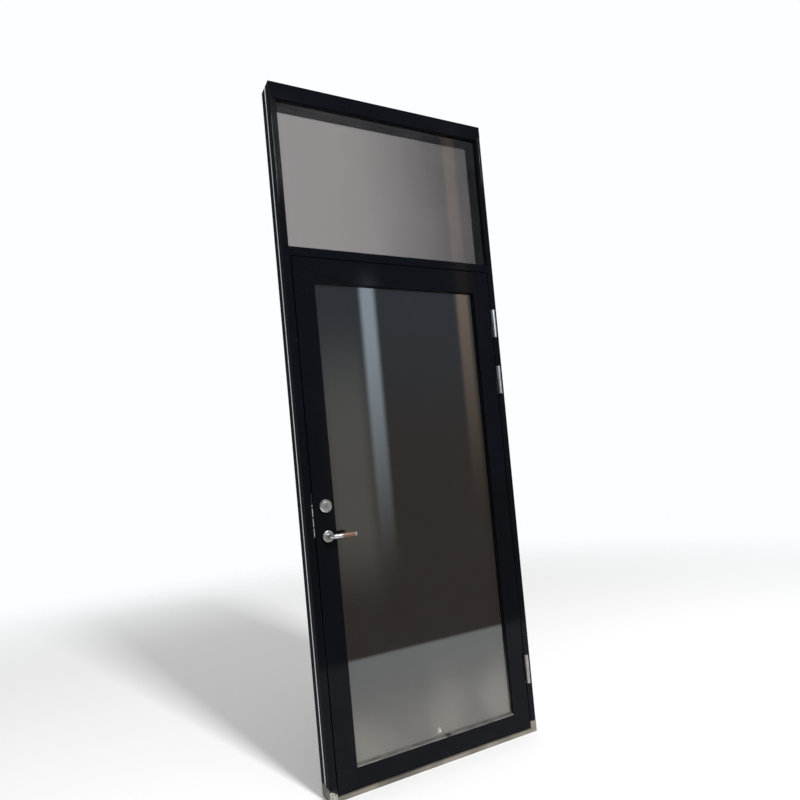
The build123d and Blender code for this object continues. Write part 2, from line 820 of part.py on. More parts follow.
# Levers: a neck out of the rose, a bend, a collar and a tang for the grip
def lever(face_y, outward):
    """Makes the steel of a lever on one face of the leaf, pointing towards the hinges."""
    bar_y = face_y + outward * lever_standoff
    with BuildPart() as piece:
        with BuildLine() as path:
            FilletPolyline(
                (spindle_x, face_y + outward * lever_start, handle_height),
                (spindle_x, bar_y, handle_height),
                (spindle_x + lever_collar, bar_y, handle_height),
                radius=lever_bend,
            )
        with BuildSketch(Plane(origin=path.line @ 0, z_dir=path.line % 0)):
            Circle(lever_radius)
        sweep()
        rod(
            (spindle_x + lever_collar - collar_width, bar_y, handle_height),
            (1, 0, 0),
            collar_radius,
            collar_width,
        )
        rod((spindle_x + lever_collar, bar_y, handle_height), (1, 0, 0), tang_radius, grip_length)
        socket_y = sorted((face_y + outward * lever_start, face_y + outward * spindle_socket))
        block(
            (spindle_x - hole_side, spindle_x + hole_side),
            socket_y,
            (handle_height - hole_side, handle_height + hole_side),
            Mode.SUBTRACT,
        )
    return piece


def grip(face_y, outward):
    """Makes the slightly swollen sleeve on a lever's tang."""
    grip_start = spindle_x + lever_collar
    with BuildPart() as piece:
        with BuildSketch(Plane(origin=(grip_start, face_y + outward * lever_standoff, handle_height))):
            with BuildLine():
                Line((0, tang_radius), (0, lever_radius))
                ThreePointArc(
                    (0, lever_radius),
                    (grip_length / 2, lever_radius + grip_bulge),
                    (grip_length, lever_radius),
                )
                Line((grip_length, lever_radius), (grip_length, tang_radius))
                Line((grip_length, tang_radius), (0, tang_radius))
            make_face()
        grip_axis = Axis((grip_start, face_y + outward * lever_standoff, handle_height), (1, 0, 0))
        revolve(axis=grip_axis)
    return piece


keep(lever(front, -1), "outer_lever")
keep(lever(leaf_back, 1), "inner_lever")
keep(grip(front, -1), "outer_grip")
keep(grip(leaf_back, 1), "inner_grip")

with BuildPart() as lever_tips:
    tip_x = spindle_x + lever_collar + grip_length
    for bar_y in (front - lever_standoff, leaf_back + lever_standoff):
        rod((tip_x, bar_y, handle_height), (1, 0, 0), lever_radius, tip_length)
    tip_ends = lever_tips.edges().filter_by(GeomType.CIRCLE).group_by(Axis.X)[-1]
    fillet(tip_ends, radius=tip_edge)
keep(lever_tips, "lever_tips")

with BuildPart() as spindle:
    block(
        (spindle_x - spindle_side / 2, spindle_x + spindle_side / 2),
        (front - spindle_socket, leaf_back + spindle_socket),
        (handle_height - spindle_side / 2, handle_height + spindle_side / 2),
    )
keep(spindle, "spindle")

# Travels that the joints use
print(f"latch throw {latch_throw:.4f} mm, {latch_throw / radians(handle_angle):.5f} mm per radian")
print(f"bolt throw {bolt_throw:.4f} mm, {bolt_throw / radians(turn_angle):.5f} mm per radian")
print(f"hinge axis {hinge_x:.3f}, {hinge_y:.3f}; spindle {spindle_x:.3f}; cylinder {cylinder_height:.3f}")
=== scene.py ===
import json

import bpy
from mathutils import Matrix, Vector

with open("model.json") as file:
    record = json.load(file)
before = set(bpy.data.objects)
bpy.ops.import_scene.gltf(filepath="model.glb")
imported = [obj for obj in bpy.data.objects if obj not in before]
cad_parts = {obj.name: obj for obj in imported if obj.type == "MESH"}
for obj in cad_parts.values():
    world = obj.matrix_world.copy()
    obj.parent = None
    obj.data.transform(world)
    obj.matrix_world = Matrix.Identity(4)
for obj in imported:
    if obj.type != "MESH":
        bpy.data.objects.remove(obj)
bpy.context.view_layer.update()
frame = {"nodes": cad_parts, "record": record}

# Looks of a black painted timber door with a glazed leaf and a toplight, in metres.
# X runs to the right as seen from outside, Y into the building, Z up.

# Camera
CAMERA_PLACE = (-1.094, -2.010, 1.093)
CAMERA_RIGHT = (0.8834124, -0.45959195, -0.09142083)
CAMERA_UP = (0.06873123, -0.06590064, 0.99545624)
CAMERA_LENS = 27.0
CAMERA_SENSOR = 36.0
CAMERA_SHIFT = 0.07

# Colours, linear
PAINT_DARK = (0.0016, 0.0020, 0.0033)
PAINT_PALE = (0.0032, 0.0038, 0.0057)
PAINT_WORN = (0.030, 0.032, 0.037)
DUST = (0.30, 0.28, 0.25)
DUST_PALE = (0.62, 0.62, 0.60)
LEAF_TINT = (0.080, 0.085, 0.092)
TOPLIGHT_TINT = (0.556, 0.537, 0.534)
HAZE_WARM = (0.40, 0.375, 0.32)
HAZE_COOL = (0.42, 0.43, 0.47)
STEEL_DARK = (0.26, 0.26, 0.27)
STEEL_PALE = (0.66, 0.66, 0.67)
BARE_DARK = (0.15, 0.15, 0.15)
BARE_PALE = (0.34, 0.34, 0.33)
CORE_PALE = (0.47, 0.47, 0.48)
ZINC_DARK = (0.34, 0.37, 0.41)
ZINC_PALE = (0.66, 0.70, 0.76)
ALUMINIUM_DARK = (0.10, 0.096, 0.090)
ALUMINIUM_PALE = (0.21, 0.198, 0.186)
SILL_DARK = (0.100, 0.090, 0.074)
SILL_PALE = (0.205, 0.186, 0.158)
RUBBER_DARK = (0.008, 0.008, 0.009)
RUBBER_PALE = (0.022, 0.022, 0.024)
PLASTIC_DARK = (0.018, 0.018, 0.020)
PLASTIC_PALE = (0.045, 0.045, 0.048)
GRIP_DARK = (0.068, 0.036, 0.020)
GRIP_PALE = (0.155, 0.084, 0.047)
# painted highlight: pale primer colour for the groove in the jambs' outer sides, made bright and bluish so
# that the groove reads as a highlight line
GROOVE_PRIMER_HIGHLIGHT = (0.80, 0.84, 0.90)
FLOOR_PALE = (0.92, 0.92, 0.92)
WHITE = (1.0, 1.0, 1.0)

# Refractive indices: a mirroring coat on the leaf's outer pane, a dulling one on the toplight
LEAF_IOR = 1.85
PLAIN_IOR = 1.5
TOPLIGHT_IOR = 1.36

# Places on the object that the materials mark
LEAF_GLASS_FOOT = 0.09
LEAF_HAZE_TOP = 0.50
# painted shade: across this span of X the toplight's tint darkens towards the right
TOPLIGHT_SHADE_X = (-0.25, 0.40)
SCUFF_CENTRE = (0.003, -0.027, 0.118)
SCUFF_REACH = 0.017
# a dark patch across the weather strip, at this place and of this width
STRIP_MARK_X = 0.036
STRIP_MARK_HALF = 0.011
STRIP_MARK_EDGE = 0.003
STRIP_MARK_RAGGED = 0.004
STRIKE_WORN_X = -0.4206
STRIKE_WORN_Z = (0.892, 1.008)
STRIKE_DASH = 0.0345
STRIKE_BREAK = 0.0070
STRIKE_RAGGED = 0.002
JAMB_SIDE = 0.4447
GROOVE_FLOOR = 0.4398
GROOVE_Y = 0.001
GROOVE_HALF = 0.0042
FRAME_FOOT = 0.045
FRAME_DUST_TOP = 0.35
METAL_DUST_Z = (0.30, 0.75)
SILL_END = 0.4178
SILL_FACE_Y = (-0.0392, -0.0398)
PAINT_DRIP_X = (0.445, 0.420)
PAINT_DRIP_Z = (0.040, 0.028)
PAINT_DRIP_RAGGED = 0.003
CHIP_REACH = 0.0018
SOFT_STEP = 0.0004

# Limits on a noise, from 0 to 1: where most of it lies, and where specks and their patches begin
NOISE_SPREAD = (0.3, 0.7)
SMEAR_SPREAD = (0.3, 0.75)
SPECK_LIMITS = (0.78, 0.82)
PATCH_LIMITS = (0.42, 0.66)

# How far two normals agree where an edge starts to wear and where it is worn
EDGE_LIMITS = (0.99, 0.86)

# Shares of dust, haze, wear, a dark mark and painted shade, from 0 to 1
PAINT_FILM_SHARE = 0.004
PAINT_SPECK_SHARE = 0.45
PAINT_CHIP_SHARE = 0.6
LEAF_FOOT_HAZE = 0.26
LEAF_THIN_HAZE = 0.012
LEAF_SPECK_SHARE = 0.55
SCUFF_SHARE = 0.9
TOPLIGHT_SMEAR_HAZE = 0.03
TOPLIGHT_THIN_HAZE = 0.008
TOPLIGHT_SPECK_SHARE = 0.5
TOPLIGHT_SHADE_SHARE = 0.33
INNER_SPECK_SHARE = 0.4
INNER_WIPE_SHARE = 0.92
INNER_CLEAR_SHARE = 0.99
METAL_GRIME_SHARE = 0.35
METAL_DUST_SHARE = 0.85
STRIP_MARK_SHARE = 0.7
STRIP_METAL_SHARE = 0.6
STRIKE_METAL_SHARE = 0.3
SILL_GRAIN_SHARE = 0.5
SILL_RUBBED_SHARES = (0.05, 0.55)
GRIP_PORE_SHARE = 0.6

# Roughness and gloss
PAINT_ROUGHNESS = (0.05, 0.08)
PAINT_FILM_ROUGHNESS = 0.2
PAINT_SIDE_ROUGHNESS = 0.75
PAINT_GLOSS = 0.085
LEAF_ROUGHNESS = (0.015, 0.4)
TOPLIGHT_ROUGHNESS = (0.0, 0.4)
DUSTY_LIMITS = (0.05, 0.6)
INNER_ROUGHNESS = (0.0, 0.03)
METAL_SMUDGE_ROUGHNESS = 0.1
METAL_GRIME_ROUGHNESS = 0.3
STRIP_ROUGHNESS = (0.6, 0.42)
SILL_ROUGHNESS = (0.75, 0.55)
SILL_GLOSS = 0.25
STRIKE_ROUGHNESS = (0.42, 0.3)
DULL_ROUGHNESS_SPREAD = 0.08
GRIP_ROUGHNESS = (0.45, 0.36)

# Directions in which strokes and brush lines run: the axis with the small value
UPRIGHT = (1.0, 1.0, 0.02)
LEVEL = (0.02, 1.0, 1.0)
TURNED = (1.0, 0.1, 1.0)
ALONG_LEVER = (0.08, 1.0, 1.0)


# Node helpers
def new_node(tree, kind, inputs=None, **settings):
    """Adds a node, with its settings and with values or links on its inputs."""
    made = tree.nodes.new(kind)
    for name, value in settings.items():
        setattr(made, name, value)
    for name, value in (inputs or {}).items():
        if isinstance(value, bpy.types.NodeSocket):
            tree.links.new(value, made.inputs[name])
        else:
            made.inputs[name].default_value = value
    return made


def object_point(tree):
    """Gives the point on the object, in metres."""
    return new_node(tree, "ShaderNodeTexCoord").outputs["Object"]


def noise(tree, scale, stretch=(1, 1, 1), detail=3.0, distortion=0.0):
    """Gives a soft noise from 0 to 1, pulled out along an axis where stretch is small."""
    mapped = new_node(tree, "ShaderNodeMapping", {"Vector": object_point(tree), "Scale": stretch})
    inputs = {"Vector": mapped.outputs[0], "Scale": scale, "Detail": detail, "Distortion": distortion}
    return new_node(tree, "ShaderNodeTexNoise", inputs).outputs["Fac"]


def ramp(tree, value, low, high, to_low=0.0, to_high=1.0):
    """Turns a value smoothly from one level to another between two limits."""
    inputs = {"Value": value, "From Min": low, "From Max": high, "To Min": to_low, "To Max": to_high}
    return new_node(tree, "ShaderNodeMapRange", inputs, interpolation_type="SMOOTHSTEP").outputs["Result"]


def calc(tree, operation, first, second=0.0):
    """Does one sum on two values."""
    return new_node(tree, "ShaderNodeMath", {0: first, 1: second}, operation=operation).outputs[0]


def blend(tree, share, first, second):
    """Mixes two colours, each a value or a link."""
    made = new_node(tree, "ShaderNodeMix", {"Factor": share}, data_type="RGBA")
    for socket, colour in ((made.inputs[6], first), (made.inputs[7], second)):
        if isinstance(colour, bpy.types.NodeSocket):
            tree.links.new(colour, socket)
        else:
            socket.default_value = (*colour, 1.0)
    return made.outputs[2]


def axis_value(tree, axis):
    """Gives one coordinate of the point on the object."""
    return new_node(tree, "ShaderNodeSeparateXYZ", {0: object_point(tree)}).outputs[axis]


def near_point(tree, centre, reach):
    """Gives 1 at a point, falling to 0 at a distance."""
    inputs = {0: object_point(tree), 1: centre}
    away = new_node(tree, "ShaderNodeVectorMath", inputs, operation="DISTANCE").outputs["Value"]
    return ramp(tree, away, 0.0, reach, 1.0, 0.0)


def edge_wear(tree, radius):
    """Gives 1 on sharp edges and 0 on flat faces."""
    rounded = new_node(tree, "ShaderNodeBevel", {"Radius": radius}, samples=4).outputs["Normal"]
    flat = new_node(tree, "ShaderNodeNewGeometry").outputs["Normal"]
    same = new_node(tree, "ShaderNodeVectorMath", {0: rounded, 1: flat}, operation="DOT_PRODUCT")
    return ramp(tree, same.outputs["Value"], *EDGE_LIMITS)


def specks(tree, scale, amount, patch_scale):
    """Gives small separate specks that lie thicker in some places."""
    limits = [limit - amount for limit in SPECK_LIMITS]
    grains = ramp(tree, noise(tree, scale, detail=1.0), *limits)
    patches = ramp(tree, noise(tree, patch_scale), *PATCH_LIMITS)
    return calc(tree, "MULTIPLY", grains, patches)


def glass_specks(tree, share, amount=0.0):
    """Gives the specks of dust on a pane."""
    return calc(tree, "MULTIPLY", specks(tree, scale=330.0, amount=amount, patch_scale=7.0), share)


def bump(tree, height, strength, distance, normal=None):
    """Turns a height into a bumped normal."""
    inputs = {"Height": height, "Strength": strength, "Distance": distance}
    if normal is not None:
        inputs["Normal"] = normal
    return new_node(tree, "ShaderNodeBump", inputs).outputs["Normal"]


def scaled(colour, share):
    """Gives a darker colour."""
    return tuple(share * part for part in colour)


def new_material(name):
    """Makes an empty node material and gives its tree."""
    made = bpy.data.materials.new(name)
    made.use_nodes = True
    made.node_tree.nodes.clear()
    return made, made.node_tree


def surface(tree, **inputs):
    """Adds the shader that ends a material."""
    named = {name.replace("_", " "): value for name, value in inputs.items()}
    shader = new_node(tree, "ShaderNodeBsdfPrincipled", named)
    new_node(tree, "ShaderNodeOutputMaterial", {"Surface": shader.outputs[0]})


# Materials of the object
def paint_material(name, stretch):
    """Black gloss paint on timber, with brush marks, worn arrises, dust below, dull outer sides and pale
    primer in their groove, made bright and bluish as a painted highlight.
    """
    made, tree = new_material(name)
    outwards = calc(tree, "ABSOLUTE", axis_value(tree, "X"))
    dull = ramp(tree, outwards, JAMB_SIDE - SOFT_STEP, JAMB_SIDE)
    off_groove = calc(tree, "ABSOLUTE", calc(tree, "SUBTRACT", axis_value(tree, "Y"), GROOVE_Y))
    groove_highlight = calc(tree, "LESS_THAN", off_groove, GROOVE_HALF)
    groove_highlight = calc(tree, "MULTIPLY", groove_highlight, calc(tree, "GREATER_THAN", outwards, GROOVE_FLOOR))
    tone = noise(tree, scale=5.0, detail=4.0)
    strokes = noise(tree, scale=160.0, stretch=stretch, detail=4.0)
    peel = noise(tree, scale=1400.0, detail=1.0)
    foot = ramp(tree, axis_value(tree, "Z"), FRAME_FOOT, FRAME_DUST_TOP, 1.0, 0.0)
    cloud = ramp(tree, noise(tree, scale=14.0, detail=5.0), low=0.35, high=0.75)
    film = calc(tree, "MULTIPLY", foot, cloud)
    worn = ramp(tree, noise(tree, scale=70.0), low=0.52, high=0.68)
    chips = calc(tree, "MULTIPLY", edge_wear(tree, CHIP_REACH), worn)
    grains = specks(tree, scale=420.0, amount=0.02, patch_scale=6.0)
    colour = blend(tree, tone, PAINT_DARK, PAINT_PALE)
    colour = blend(tree, calc(tree, "MULTIPLY", film, PAINT_FILM_SHARE), colour, DUST)
    colour = blend(tree, calc(tree, "MULTIPLY", grains, PAINT_SPECK_SHARE), colour, DUST)
    colour = blend(tree, calc(tree, "MULTIPLY", chips, PAINT_CHIP_SHARE), colour, PAINT_WORN)
    # painted highlight: the groove in the outer sides takes a bright bluish primer colour that stands for a
    # highlight along the side
    colour = blend(tree, groove_highlight, colour, GROOVE_PRIMER_HIGHLIGHT)
    shine = ramp(tree, tone, *NOISE_SPREAD, *PAINT_ROUGHNESS)
    shine = calc(tree, "ADD", shine, calc(tree, "MULTIPLY", film, PAINT_FILM_ROUGHNESS))
    shine = calc(tree, "MAXIMUM", shine, calc(tree, "MULTIPLY", dull, PAINT_SIDE_ROUGHNESS))
    normal = bump(tree, strokes, strength=0.07, distance=0.0006)
    normal = bump(tree, peel, strength=0.06, distance=0.0003, normal=normal)
    surface(tree, Base_Color=colour, Roughness=shine, Specular_IOR_Level=PAINT_GLOSS, Normal=normal)
    return made


def leaf_glass_material():
    """Outer face of the leaf's tinted glass: dusty towards its foot, with specks and a pale scuff."""
    made, tree = new_material("leaf_glass_outer")
    foot = ramp(tree, axis_value(tree, "Z"), LEAF_GLASS_FOOT, LEAF_HAZE_TOP, 1.0, 0.0)
    smear = noise(tree, scale=2.2, stretch=(1.6, 1.0, 0.8), detail=2.0, distortion=0.6)
    smear = ramp(tree, smear, *SMEAR_SPREAD, to_low=0.6)
    runs = noise(tree, scale=11.0, stretch=(1.0, 1.0, 0.05), detail=2.0)
    runs = ramp(tree, runs, *SMEAR_SPREAD, to_low=0.85)
    film = calc(tree, "MULTIPLY", smear, runs)
    thick = calc(tree, "ADD", calc(tree, "MULTIPLY", foot, LEAF_FOOT_HAZE), LEAF_THIN_HAZE)
    haze = calc(tree, "MULTIPLY", film, thick)
    grains = glass_specks(tree, LEAF_SPECK_SHARE)
    strokes = noise(tree, scale=150.0, stretch=(0.45, 1.0, 1.6), detail=2.0)
    near = ramp(tree, near_point(tree, SCUFF_CENTRE, SCUFF_REACH), low=0.10, high=0.40)
    scuff = calc(tree, "MULTIPLY", near, ramp(tree, strokes, low=0.54, high=0.58, to_high=SCUFF_SHARE))
    marks = calc(tree, "MAXIMUM", grains, scuff)
    colour = blend(tree, ramp(tree, haze, low=0.0, high=0.25), LEAF_TINT, HAZE_WARM)
    colour = blend(tree, marks, colour, DUST_PALE)
    covered = calc(tree, "MAXIMUM", haze, marks)
    clear = calc(tree, "SUBTRACT", 1.0, covered)
    shine = ramp(tree, covered, *DUSTY_LIMITS, *LEAF_ROUGHNESS)
    surface(tree, Base_Color=colour, Roughness=shine, Transmission_Weight=clear, IOR=LEAF_IOR)
    return made


def toplight_glass_material():
    """Outer face of the toplight's glass: a thin uneven film of dust and some specks, with painted shade that
    darkens its tint towards the right.
    """
    made, tree = new_material("toplight_glass_outer")
    smear = noise(tree, scale=3.0, stretch=(1.0, 1.0, 1.4), detail=2.0, distortion=0.8)
    smear = ramp(tree, smear, *SMEAR_SPREAD)
    haze = calc(tree, "ADD", calc(tree, "MULTIPLY", smear, TOPLIGHT_SMEAR_HAZE), TOPLIGHT_THIN_HAZE)
    grains = glass_specks(tree, TOPLIGHT_SPECK_SHARE)
    # painted shade: the toplight's tint darkens towards the right, where less reflected light falls on the
    # pane
    shaded_right_tint = scaled(TOPLIGHT_TINT, TOPLIGHT_SHADE_SHARE)
    tint = blend(tree, ramp(tree, axis_value(tree, "X"), *TOPLIGHT_SHADE_X), TOPLIGHT_TINT, shaded_right_tint)
    colour = blend(tree, ramp(tree, haze, low=0.0, high=0.2), tint, HAZE_COOL)
    colour = blend(tree, grains, colour, DUST_PALE)
    covered = calc(tree, "MAXIMUM", haze, grains)
    clear = calc(tree, "SUBTRACT", 1.0, covered)
    shine = ramp(tree, covered, *DUSTY_LIMITS, *TOPLIGHT_ROUGHNESS)
    surface(tree, Base_Color=colour, Roughness=shine, Transmission_Weight=clear, IOR=TOPLIGHT_IOR)
    return made


def inner_glass_material(name, tint, ior):
    """Tinted glass on the inside, with faint wipe marks and specks."""
    made, tree = new_material(name)
    wipes = noise(tree, scale=4.0, stretch=(1.0, 1.0, 0.6), detail=2.0, distortion=1.2)
    colour = blend(tree, wipes, scaled(tint, INNER_WIPE_SHARE), tint)
    shine = ramp(tree, wipes, 0.45, 0.75, *INNER_ROUGHNESS)
    clear = calc(tree, "SUBTRACT", INNER_CLEAR_SHARE, glass_specks(tree, INNER_SPECK_SHARE, amount=-0.02))
    surface(tree, Base_Color=colour, Roughness=shine, Transmission_Weight=clear, IOR=ior)
    return made


def metal_material(name, dark, pale, stretch, rough, grime, mottle=60.0):
    """Bare metal with fine brush lines, smudges and some grime, dusty low down."""
    made, tree = new_material(name)
    lines = noise(tree, scale=900.0, stretch=stretch, detail=2.0)
    smudge = noise(tree, mottle, detail=4.0)
    colour = blend(tree, ramp(tree, smudge, *NOISE_SPREAD, to_low=0.25), dark, pale)
    spots = ramp(tree, noise(tree, scale=190.0, detail=4.0), low=0.55, high=0.72)
    dirt = calc(tree, "MULTIPLY", spots, grime)
    colour = blend(tree, dirt, colour, scaled(dark, METAL_GRIME_SHARE))
    low = ramp(tree, axis_value(tree, "Z"), *METAL_DUST_Z, METAL_DUST_SHARE, 0.0)
    colour = blend(tree, low, colour, DUST)
    shine = ramp(tree, smudge, *NOISE_SPREAD, rough + METAL_SMUDGE_ROUGHNESS, rough)
    shine = calc(tree, "ADD", shine, calc(tree, "MULTIPLY", dirt, METAL_GRIME_ROUGHNESS))
    normal = bump(tree, lines, strength=0.12, distance=0.0002)
    surface(tree, Base_Color=colour, Metallic=1.0, Roughness=shine, Normal=normal)
    return made


def strip_material():
    """Dull scuffed aluminium with one dark patch in its length."""
    made, tree = new_material("weather_strip")
    scuffs = noise(tree, scale=120.0, stretch=(0.2, 1.0, 1.0), detail=5.0)
    colour = blend(tree, ramp(tree, scuffs, *NOISE_SPREAD), ALUMINIUM_DARK, ALUMINIUM_PALE)
    # one dark patch in paint colour across the strip at a point along its length
    away = calc(tree, "ABSOLUTE", calc(tree, "SUBTRACT", axis_value(tree, "X"), STRIP_MARK_X))
    ragged = calc(tree, "MULTIPLY", noise(tree, scale=300.0), STRIP_MARK_RAGGED)
    ragged = calc(tree, "ADD", away, ragged)
    dark_mark = ramp(tree, ragged, STRIP_MARK_HALF, STRIP_MARK_HALF + STRIP_MARK_EDGE, STRIP_MARK_SHARE, 0.0)
    colour = blend(tree, dark_mark, colour, PAINT_PALE)
    shine = ramp(tree, scuffs, *NOISE_SPREAD, *STRIP_ROUGHNESS)
    normal = bump(tree, scuffs, strength=0.15, distance=0.0004)
    surface(tree, Base_Color=colour, Metallic=STRIP_METAL_SHARE, Roughness=shine, Normal=normal)
    return made


def sill_material():
    """Pale composite with fine grains and scuffs, its left end rubbed and partly painted over."""
    made, tree = new_material("sill_composite")
    grains = noise(tree, scale=700.0, detail=2.0)
    scuffs = noise(tree, scale=18.0, stretch=(0.4, 1.0, 1.0), detail=6.0, distortion=0.4)
    colour = blend(tree, ramp(tree, scuffs, low=0.3, high=0.72), SILL_DARK, SILL_PALE)
    dark_grains = ramp(tree, grains, low=0.55, high=0.75, to_high=SILL_GRAIN_SHARE)
    colour = blend(tree, dark_grains, colour, SILL_DARK)
    end = calc(tree, "LESS_THAN", axis_value(tree, "X"), -SILL_END)
    end = calc(tree, "MULTIPLY", end, ramp(tree, axis_value(tree, "Y"), *SILL_FACE_Y))
    rubbed = noise(tree, scale=150.0, stretch=(1.0, 1.0, 1.8), detail=4.0, distortion=0.5)
    rubbed = ramp(tree, rubbed, 0.35, 0.70, *SILL_RUBBED_SHARES)
    colour = blend(tree, calc(tree, "MULTIPLY", end, rubbed), colour, DUST_PALE)
    drip = ramp(tree, axis_value(tree, "X"), -PAINT_DRIP_X[0], -PAINT_DRIP_X[1], *PAINT_DRIP_Z)
    ragged = noise(tree, scale=220.0, detail=4.0)
    ragged = ramp(tree, ragged, *NOISE_SPREAD, -PAINT_DRIP_RAGGED, PAINT_DRIP_RAGGED)
    drip = calc(tree, "ADD", drip, ragged)
    painted = calc(tree, "MULTIPLY", end, calc(tree, "GREATER_THAN", axis_value(tree, "Z"), drip))
    colour = blend(tree, painted, colour, PAINT_PALE)
    shine = ramp(tree, scuffs, *NOISE_SPREAD, *SILL_ROUGHNESS)
    normal = bump(tree, grains, strength=0.2, distance=0.0004)
    surface(tree, Base_Color=colour, Roughness=shine, Specular_IOR_Level=SILL_GLOSS, Normal=normal)
    return made


def strike_material():
    """Steel strike painted over in front, with the paint worn off in dashes along the gap."""
    made, tree = new_material("strike_steel")
    smudge = noise(tree, scale=120.0, detail=4.0)
    steel = blend(tree, ramp(tree, smudge, *NOISE_SPREAD), BARE_DARK, BARE_PALE)
    in_gap = ramp(tree, axis_value(tree, "X"), STRIKE_WORN_X - SOFT_STEP, STRIKE_WORN_X)
    height = axis_value(tree, "Z")
    along = calc(tree, "MODULO", calc(tree, "SUBTRACT", height, STRIKE_WORN_Z[0]), STRIKE_DASH)
    ragged = ramp(tree, noise(tree, scale=260.0), *NOISE_SPREAD, -STRIKE_RAGGED, STRIKE_RAGGED)
    dashes = calc(tree, "GREATER_THAN", calc(tree, "ADD", along, ragged), STRIKE_BREAK)
    dashes = calc(tree, "MULTIPLY", dashes, calc(tree, "LESS_THAN", height, STRIKE_WORN_Z[1]))
    bare = calc(tree, "MULTIPLY", in_gap, dashes)
    colour = blend(tree, bare, PAINT_PALE, steel)
    shine = ramp(tree, smudge, *NOISE_SPREAD, *STRIKE_ROUGHNESS)
    metal = calc(tree, "MULTIPLY", bare, STRIKE_METAL_SHARE)
    normal = bump(tree, smudge, strength=0.1, distance=0.0003)
    surface(tree, Base_Color=colour, Metallic=metal, Roughness=shine, Normal=normal)
    return made


def dull_material(name, dark, pale, rough):
    """Rubber or plastic with a fine uneven surface."""
    made, tree = new_material(name)
    cloud = noise(tree, scale=90.0, detail=4.0)
    colour = blend(tree, cloud, dark, pale)
    shine = ramp(tree, cloud, *NOISE_SPREAD, rough - DULL_ROUGHNESS_SPREAD, rough + DULL_ROUGHNESS_SPREAD)
    normal = bump(tree, noise(tree, scale=800.0), strength=0.15, distance=0.0003)
    surface(tree, Base_Color=colour, Roughness=shine, Normal=normal)
    return made


def grip_material():
    """Oiled brown wood with its grain along the lever."""
    made, tree = new_material("grip_wood")
    grain = noise(tree, scale=420.0, stretch=(0.05, 1.0, 1.0), detail=5.0, distortion=0.8)
    pores = noise(tree, scale=1600.0, stretch=(0.03, 1.0, 1.0), detail=2.0)
    colour = blend(tree, ramp(tree, grain, *NOISE_SPREAD), GRIP_DARK, GRIP_PALE)
    colour = blend(tree, ramp(tree, pores, low=0.6, high=0.75, to_high=GRIP_PORE_SHARE), colour, GRIP_DARK)
    shine = ramp(tree, grain, *NOISE_SPREAD, *GRIP_ROUGHNESS)
    normal = bump(tree, grain, strength=0.2, distance=0.0004)
    surface(tree, Base_Color=colour, Roughness=shine, Normal=normal)
    return made


paint_upright = paint_material("paint_upright", UPRIGHT)
paint_level = paint_material("paint_level", LEVEL)
steel_turned = metal_material(
    "steel_turned", STEEL_DARK, STEEL_PALE, TURNED, rough=0.26, grime=0.45, mottle=130.0
)
steel_core = metal_material("steel_core", BARE_DARK, CORE_PALE, TURNED, rough=0.30, grime=0.6, mottle=260.0)
steel_lever = metal_material("steel_lever", STEEL_DARK, STEEL_PALE, ALONG_LEVER, rough=0.24, grime=0.2)
steel_inner = metal_material("steel_inner", STEEL_DARK, STEEL_PALE, UPRIGHT, rough=0.34, grime=0.4)
zinc = metal_material("hinge_zinc", ZINC_DARK, ZINC_PALE, UPRIGHT, rough=0.26, grime=0.25)
aluminium = metal_material(
    "threshold_aluminium", ALUMINIUM_DARK, ALUMINIUM_PALE, LEVEL, rough=0.4, grime=0.35
)
rubber = dull_material("seal_rubber", RUBBER_DARK, RUBBER_PALE, rough=0.62)
plastic = dull_material("block_plastic", PLASTIC_DARK, PLASTIC_PALE, rough=0.5)

MATERIAL_OF_NODE = {
    "head": paint_level,
    "transom": paint_level,
    "top_rail": paint_level,
    "bottom_rail": paint_level,
    "toplight_bead_top": paint_level,
    "toplight_bead_bottom": paint_level,
    "leaf_bead_top": paint_level,
    "leaf_bead_bottom": paint_level,
    "leaf_outer_pane": leaf_glass_material(),
    "leaf_inner_pane": inner_glass_material("leaf_glass_inner", LEAF_TINT, PLAIN_IOR),
    "toplight_outer_pane": toplight_glass_material(),
    "toplight_inner_pane": inner_glass_material("toplight_glass_inner", TOPLIGHT_TINT, TOPLIGHT_IOR),
    "leaf_weather_strip": strip_material(),
    "threshold_cap": aluminium,
    "sill": sill_material(),
    "strike_plate": strike_material(),
    "lever_tips": steel_lever,
    "outer_lever": steel_lever,
    "inner_lever": steel_lever,
    "outer_rose": steel_turned,
    "inner_rose": steel_turned,
    "turn_rose": steel_turned,
    "cylinder_ring": steel_turned,
    "cylinder_housing": steel_core,
    "cylinder_plug": steel_core,
    "thumb_turn": steel_turned,
}
MATERIAL_OF_SLOT = {
    "black_timber": paint_upright,
    "edge_spacer": plastic,
    "block_plastic": plastic,
    "rubber": rubber,
    "grip_wood": grip_material(),
    "hinge_steel": zinc,
    "steel": steel_inner,
}
slot_of_node = {entry["node"]: entry["material_slot"] for entry in frame["record"]["subparts"]}
for name, node_object in frame["nodes"].items():
    finish = MATERIAL_OF_NODE.get(name) or MATERIAL_OF_SLOT[slot_of_node[name]]
    node_object.data.materials.clear()
    node_object.data.materials.append(finish)


